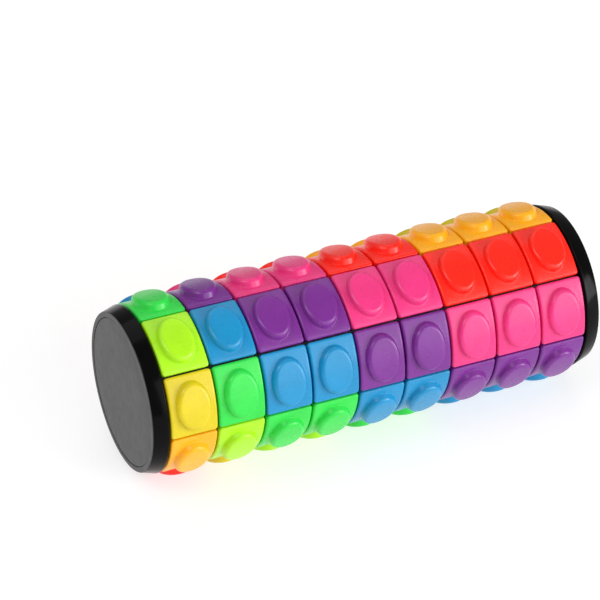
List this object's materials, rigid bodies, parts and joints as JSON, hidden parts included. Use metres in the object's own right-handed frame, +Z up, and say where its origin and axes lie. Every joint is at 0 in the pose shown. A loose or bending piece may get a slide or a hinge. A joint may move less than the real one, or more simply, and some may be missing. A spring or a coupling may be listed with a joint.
{
  "type": "rotate and slide tile puzzle",
  "caption": "Cylinder of turning rings whose coloured tiles slide along it into an empty place, with a raised oval pad on each tile and a black cap at each end.",
  "frame": {"origin": "centre of the footprint, on the surface that the puzzle lies on, below the middle of its axis", "axes": "+X along the cylinder from the ring with the empty place to the far end, +Y across it, +Z up"},
  "size_m": [0.1258, 0.0476, 0.0475],
  "materials": {
    "core": "satin",
    "cap": "gloss",
    "disc": "satin",
    "steel": "plain",
    "carrier": "satin",
    "mixed_tiles": "satin gloss",
    "orange_tile": "satin gloss",
    "yellow_tile": "satin gloss",
    "lime_tile": "satin gloss",
    "green_tile": "satin gloss"
  },
  "bodies": {
    "frame": {"core_tube": "core", "end_cap_left": "cap", "end_cap_right": "cap", "cover_disc_left": "disc", "cover_disc_right": "disc", "cap_screws_left": "steel", "cap_screws_right": "steel"},
    "ring_1": {"ring_1_carrier": "carrier", "ring_1_click_spring": "steel", "ring_1_tiles": "mixed_tiles"},
    "ring_2": {"ring_2_carrier": "carrier", "ring_2_click_spring": "steel", "ring_2_tiles": "mixed_tiles"},
    "ring_3": {"ring_3_carrier": "carrier", "ring_3_click_spring": "steel", "ring_3_tiles": "mixed_tiles"},
    "ring_4": {"ring_4_carrier": "carrier", "ring_4_click_spring": "steel", "ring_4_tiles": "mixed_tiles"},
    "ring_5": {"ring_5_carrier": "carrier", "ring_5_click_spring": "steel", "ring_5_tiles": "mixed_tiles"},
    "ring_6": {"ring_6_carrier": "carrier", "ring_6_click_spring": "steel", "ring_6_tiles": "mixed_tiles"},
    "ring_7": {"ring_7_carrier": "carrier", "ring_7_click_spring": "steel", "ring_7_tiles": "mixed_tiles"},
    "ring_8": {"ring_8_carrier": "carrier", "ring_8_click_spring": "steel", "ring_8_tiles": "mixed_tiles"},
    "ring_9": {"ring_9_carrier": "carrier", "ring_9_click_spring": "steel", "ring_9_tiles": "mixed_tiles"},
    "ring_2_slider": {"ring_2_sliding_tile": "orange_tile"},
    "ring_3_slider": {"ring_3_sliding_tile": "yellow_tile"},
    "ring_4_slider": {"ring_4_sliding_tile": "yellow_tile"},
    "ring_5_slider": {"ring_5_sliding_tile": "lime_tile"},
    "ring_6_slider": {"ring_6_sliding_tile": "lime_tile"},
    "ring_7_slider": {"ring_7_sliding_tile": "green_tile"},
    "ring_8_slider": {"ring_8_sliding_tile": "green_tile"},
    "ring_9_slider": {"ring_9_sliding_tile": "green_tile"}
  },
  "joints": [
    {"name": "ring_1_turn", "type": "hinge", "parent": "frame", "child": "ring_1", "pos_m": [-0.052, 0, 0.02376], "axis": [1, 0, 0], "continuous": true},
    {"name": "ring_2_turn", "type": "hinge", "parent": "frame", "child": "ring_2", "pos_m": [-0.039, 0, 0.02376], "axis": [1, 0, 0], "continuous": true},
    {"name": "ring_3_turn", "type": "hinge", "parent": "frame", "child": "ring_3", "pos_m": [-0.026, 0, 0.02376], "axis": [1, 0, 0], "continuous": true},
    {"name": "ring_4_turn", "type": "hinge", "parent": "frame", "child": "ring_4", "pos_m": [-0.013, 0, 0.02376], "axis": [1, 0, 0], "continuous": true},
    {"name": "ring_5_turn", "type": "hinge", "parent": "frame", "child": "ring_5", "pos_m": [0, 0, 0.02376], "axis": [1, 0, 0], "continuous": true},
    {"name": "ring_6_turn", "type": "hinge", "parent": "frame", "child": "ring_6", "pos_m": [0.013, 0, 0.02376], "axis": [1, 0, 0], "continuous": true},
    {"name": "ring_7_turn", "type": "hinge", "parent": "frame", "child": "ring_7", "pos_m": [0.026, 0, 0.02376], "axis": [1, 0, 0], "continuous": true},
    {"name": "ring_8_turn", "type": "hinge", "parent": "frame", "child": "ring_8", "pos_m": [0.039, 0, 0.02376], "axis": [1, 0, 0], "continuous": true},
    {"name": "ring_9_turn", "type": "hinge", "parent": "frame", "child": "ring_9", "pos_m": [0.052, 0, 0.02376], "axis": [1, 0, 0], "continuous": true},
    {"name": "ring_2_slide", "type": "slide", "parent": "ring_2", "child": "ring_2_slider", "axis": [-1, 0, 0], "range_m": [0, 0.013]},
    {"name": "ring_3_slide", "type": "slide", "parent": "ring_3", "child": "ring_3_slider", "axis": [-1, 0, 0], "range_m": [0, 0.013]},
    {"name": "ring_4_slide", "type": "slide", "parent": "ring_4", "child": "ring_4_slider", "axis": [-1, 0, 0], "range_m": [0, 0.013]},
    {"name": "ring_5_slide", "type": "slide", "parent": "ring_5", "child": "ring_5_slider", "axis": [-1, 0, 0], "range_m": [0, 0.013]},
    {"name": "ring_6_slide", "type": "slide", "parent": "ring_6", "child": "ring_6_slider", "axis": [-1, 0, 0], "range_m": [0, 0.013]},
    {"name": "ring_7_slide", "type": "slide", "parent": "ring_7", "child": "ring_7_slider", "axis": [-1, 0, 0], "range_m": [0, 0.013]},
    {"name": "ring_8_slide", "type": "slide", "parent": "ring_8", "child": "ring_8_slider", "axis": [-1, 0, 0], "range_m": [0, 0.013]},
    {"name": "ring_9_slide", "type": "slide", "parent": "ring_9", "child": "ring_9_slider", "axis": [-1, 0, 0], "range_m": [0, 0.013]}
  ],
  "couplings": [
    {"joint": "ring_3_slide", "follows": "ring_2_slide", "ratio": 1},
    {"joint": "ring_4_slide", "follows": "ring_2_slide", "ratio": 1},
    {"joint": "ring_5_slide", "follows": "ring_2_slide", "ratio": 1},
    {"joint": "ring_6_slide", "follows": "ring_2_slide", "ratio": 1},
    {"joint": "ring_7_slide", "follows": "ring_2_slide", "ratio": 1},
    {"joint": "ring_8_slide", "follows": "ring_2_slide", "ratio": 1},
    {"joint": "ring_9_slide", "follows": "ring_2_slide", "ratio": 1}
  ]
}
